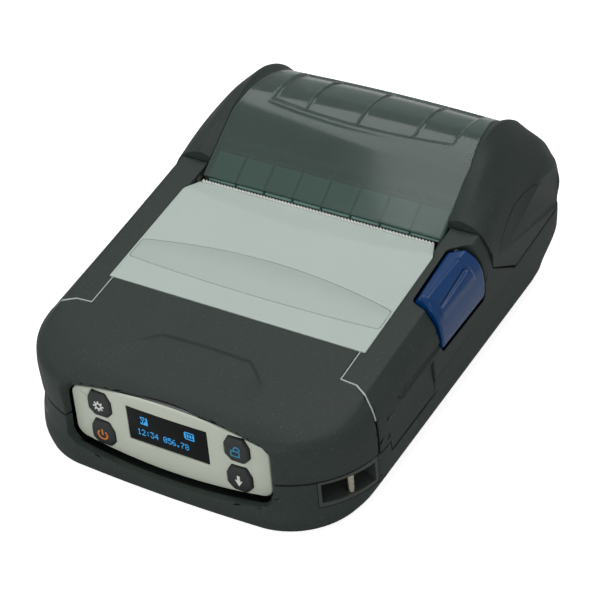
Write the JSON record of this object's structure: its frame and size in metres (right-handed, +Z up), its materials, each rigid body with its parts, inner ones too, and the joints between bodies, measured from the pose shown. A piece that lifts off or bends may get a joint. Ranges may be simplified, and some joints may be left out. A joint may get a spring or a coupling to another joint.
{
  "type": "portable receipt printer",
  "caption": "Portable thermal receipt printer with a hinged roll cover, blue release button, display with keys, strap pockets and a slide-in battery.",
  "frame": {"origin": "under the middle of the printer, on the surface its feet stand on", "axes": "+X to the right of someone facing the display, +Y from the display to the lid's hinge, +Z up"},
  "size_m": [0.1149, 0.1568, 0.0599],
  "materials": {
    "body_shell": "charcoal, finely textured",
    "light_panel": "pale sage grey, satin",
    "light_plate": "pale grey, smooth satin",
    "bezel_plastic": "warm light grey, satin",
    "window_plastic": "smoke grey, glossy",
    "button_plastic": "deep blue, glossy",
    "key_rubber": "dark, smooth",
    "display_glass": "black, glossy",
    "inner_plastic": "black moulded",
    "bright_steel": "stamped sheet",
    "spring_steel": "wire",
    "gear_plastic": "natural acetal",
    "bush_brass": "sintered",
    "platen_rubber": "ground",
    "seal_rubber": "glossy black",
    "ceramic": "white ceramic with a dark heater line",
    "board_green": "circuit board",
    "foot_rubber": "matt",
    "battery_plastic": "dark, satin"
  },
  "bodies": {
    "case": {"base_case": "body_shell", "front_cover": "body_shell", "upper_body": "body_shell", "left_strap_insert": "inner_plastic", "right_strap_insert": "inner_plastic", "top_panel": "light_panel", "name_plate": "light_plate", "display_bezel": "bezel_plastic", "display_lens": "display_glass", "display_module": "inner_plastic", "bezel_seal": "seal_rubber", "key_board": "board_green", "drive_motor": "bright_steel", "mech_frame": "bright_steel", "head_bracket": "bright_steel", "print_head": "ceramic", "head_springs": "spring_steel", "tear_bar": "bright_steel", "paper_bay": "inner_plastic", "entry_guide": "inner_plastic", "paper_sensor": "inner_plastic", "hinge_pins": "bright_steel", "left_strap_pin": "bright_steel", "right_strap_pin": "bright_steel", "main_board": "board_green", "power_socket": "inner_plastic", "usb_socket": "bright_steel", "battery_pack": "battery_plastic", "case_screws": "bright_steel", "rubber_feet": "foot_rubber"},
    "lid": {"lid_frame": "body_shell", "lid_window": "window_plastic", "platen_carrier": "inner_plastic", "platen_bushes": "bush_brass"},
    "platen": {"platen_shaft": "bright_steel", "platen_roller": "platen_rubber", "platen_gear": "gear_plastic"},
    "idler": {"idler_gear": "gear_plastic"},
    "pinion": {"motor_pinion": "gear_plastic", "motor_shaft": "bright_steel"},
    "release": {"latch_button": "button_plastic"},
    "lever": {"latch_lever": "bright_steel"},
    "setup": {"setup_key": "key_rubber"},
    "power": {"power_key": "key_rubber"},
    "lock": {"lock_key": "key_rubber"},
    "feed": {"feed_key": "key_rubber"},
    "flap": {"port_flap": "body_shell"},
    "catch": {"battery_latch": "inner_plastic"}
  },
  "joints": [
    {"name": "lid_hinge", "type": "hinge", "parent": "case", "child": "lid", "pos_m": [0, 0.0746, 0.02774], "axis": [-1, 0, 0], "range_deg": [0, 85]},
    {"name": "platen_spin", "type": "hinge", "parent": "lid", "child": "platen", "pos_m": [0, 0.0212, 0.0356], "axis": [1, 0, 0], "continuous": true},
    {"name": "idler_spin", "type": "hinge", "parent": "case", "child": "idler", "pos_m": [-0.0462, 0.01378, 0.02818], "axis": [1, 0, 0], "continuous": true},
    {"name": "pinion_spin", "type": "hinge", "parent": "case", "child": "pinion", "pos_m": [-0.0462, 0.00686, 0.02323], "axis": [1, 0, 0], "continuous": true},
    {"name": "release_press", "type": "slide", "parent": "case", "child": "release", "axis": [-0.6004, 0, -0.7997], "range_m": [0, 0.0025], "stiffness_N_per_m": 800},
    {"name": "lever_turn", "type": "hinge", "parent": "case", "child": "lever", "pos_m": [0, 0.0008, 0.031], "axis": [1, 0, 0], "range_deg": [0, 10]},
    {"name": "flap_hinge", "type": "hinge", "parent": "case", "child": "flap", "pos_m": [0.0564, -0.0326, 0.0156], "axis": [0, 1, 0], "range_deg": [0, 95]},
    {"name": "catch_slide", "type": "slide", "parent": "case", "child": "catch", "axis": [0, 1, 0], "range_m": [0, 0.0025], "stiffness_N_per_m": 300},
    {"name": "setup_press", "type": "slide", "parent": "case", "child": "setup", "axis": [0, 1, 0], "range_m": [0, 0.001], "stiffness_N_per_m": 600},
    {"name": "power_press", "type": "slide", "parent": "case", "child": "power", "axis": [0, 1, 0], "range_m": [0, 0.001], "stiffness_N_per_m": 600},
    {"name": "lock_press", "type": "slide", "parent": "case", "child": "lock", "axis": [0, 1, 0], "range_m": [0, 0.001], "stiffness_N_per_m": 600},
    {"name": "feed_press", "type": "slide", "parent": "case", "child": "feed", "axis": [0, 1, 0], "range_m": [0, 0.001], "stiffness_N_per_m": 600}
  ],
  "couplings": [
    {"joint": "idler_spin", "follows": "platen_spin", "ratio": -0.90909},
    {"joint": "pinion_spin", "follows": "platen_spin", "ratio": 1.6667},
    {"joint": "lever_turn", "follows": "release_press", "rad_per_m": 69}
  ]
}
